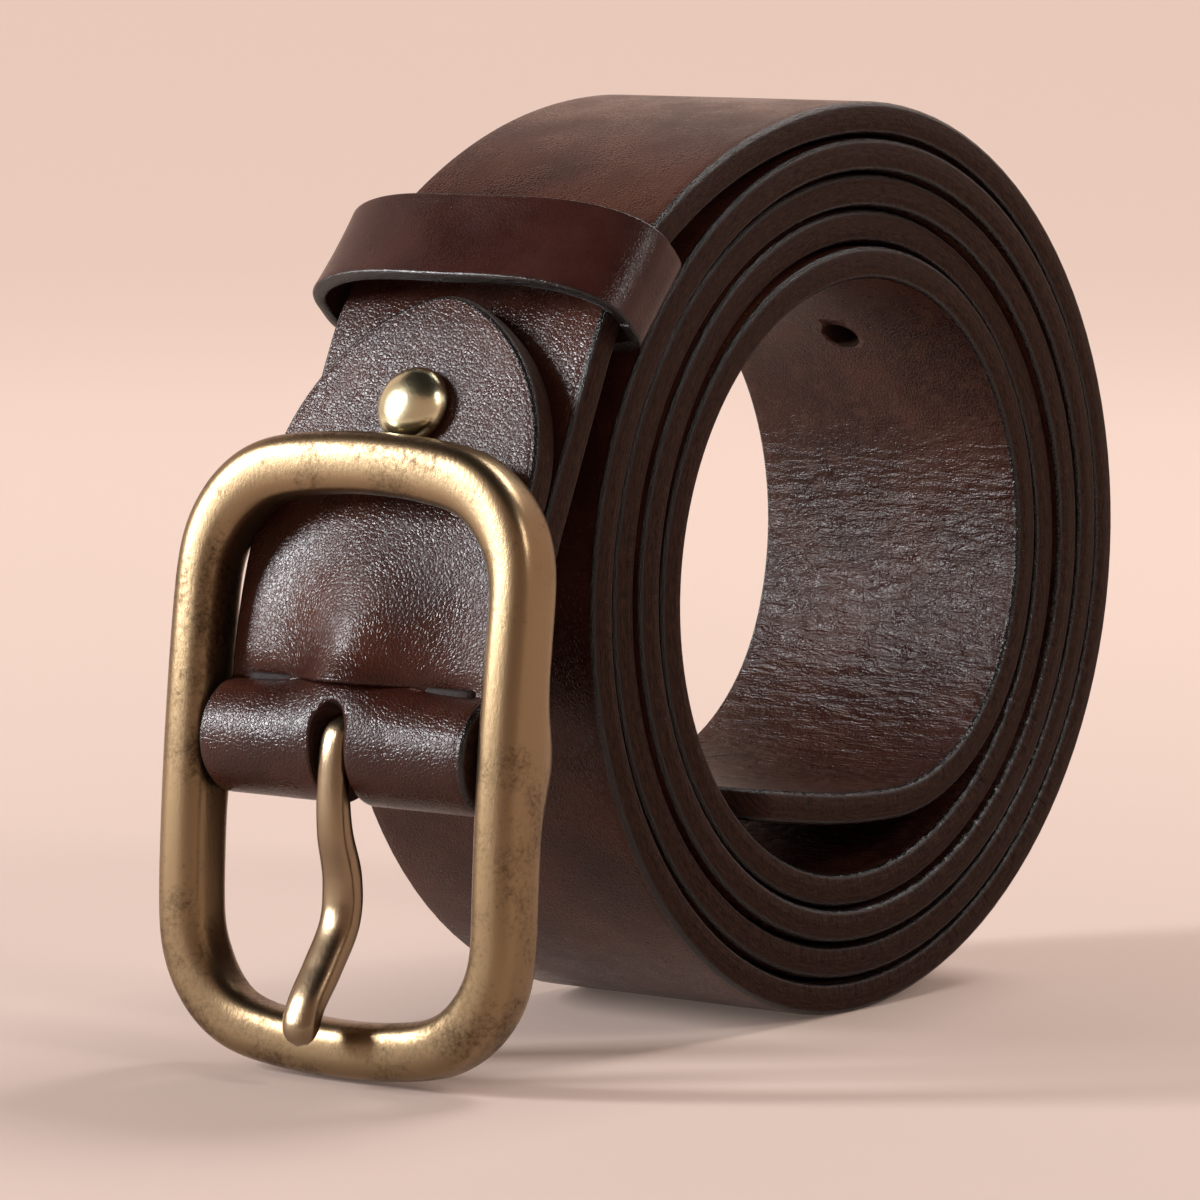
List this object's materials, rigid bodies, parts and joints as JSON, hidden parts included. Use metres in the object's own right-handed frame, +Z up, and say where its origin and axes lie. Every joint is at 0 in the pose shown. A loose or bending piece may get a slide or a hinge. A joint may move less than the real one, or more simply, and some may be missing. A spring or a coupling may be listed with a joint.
{
  "type": "leather belt",
  "caption": "Leather belt wound into a coil that stands on its edge, with an arched centre-bar buckle, prong, rivet and sliding keeper in front.",
  "frame": {"origin": "on the surface that the belt stands on, under the middle of its overall box", "axes": "+X across the strap, +Y from the buckle to the back of the coil, +Z up"},
  "size_m": [0.0496, 0.132, 0.1065],
  "materials": {
    "strap_leather": "semi-gloss dark brown, fine grain, burnished edges",
    "keeper_leather": "smooth dark brown, soft sheen",
    "lace": "flat dark brown lace",
    "thread": "waxed brown thread",
    "antique_brass": "brushed, with a brown patina",
    "worn_brass": "smooth and worn, with dark stains",
    "polished_brass": "polished"
  },
  "bodies": {
    "strap": {"strap": "strap_leather", "lace_left": "lace", "lace_right": "lace", "rivet_post": "polished_brass", "rivet_cap": "polished_brass"},
    "buckle": {"buckle_frame": "antique_brass", "centre_bar": "antique_brass"},
    "prong": {"prong": "worn_brass"},
    "keeper": {"keeper_loop": "keeper_leather", "keeper_stitches": "thread"}
  },
  "joints": [
    {"name": "buckle_hinge", "type": "hinge", "parent": "strap", "child": "buckle", "pos_m": [0, -0.05547, 0.03676], "axis": [1, 0, 0], "range_deg": [0, 45]},
    {"name": "prong_hinge", "type": "hinge", "parent": "buckle", "child": "prong", "pos_m": [0, -0.05547, 0.03676], "axis": [-1, 0, 0], "range_deg": [0, 70]},
    {"name": "keeper_travel", "type": "hinge", "parent": "strap", "child": "keeper", "pos_m": [0, -0.00778, 0.06584], "axis": [1, 0, 0], "range_deg": [-4, 3]}
  ]
}
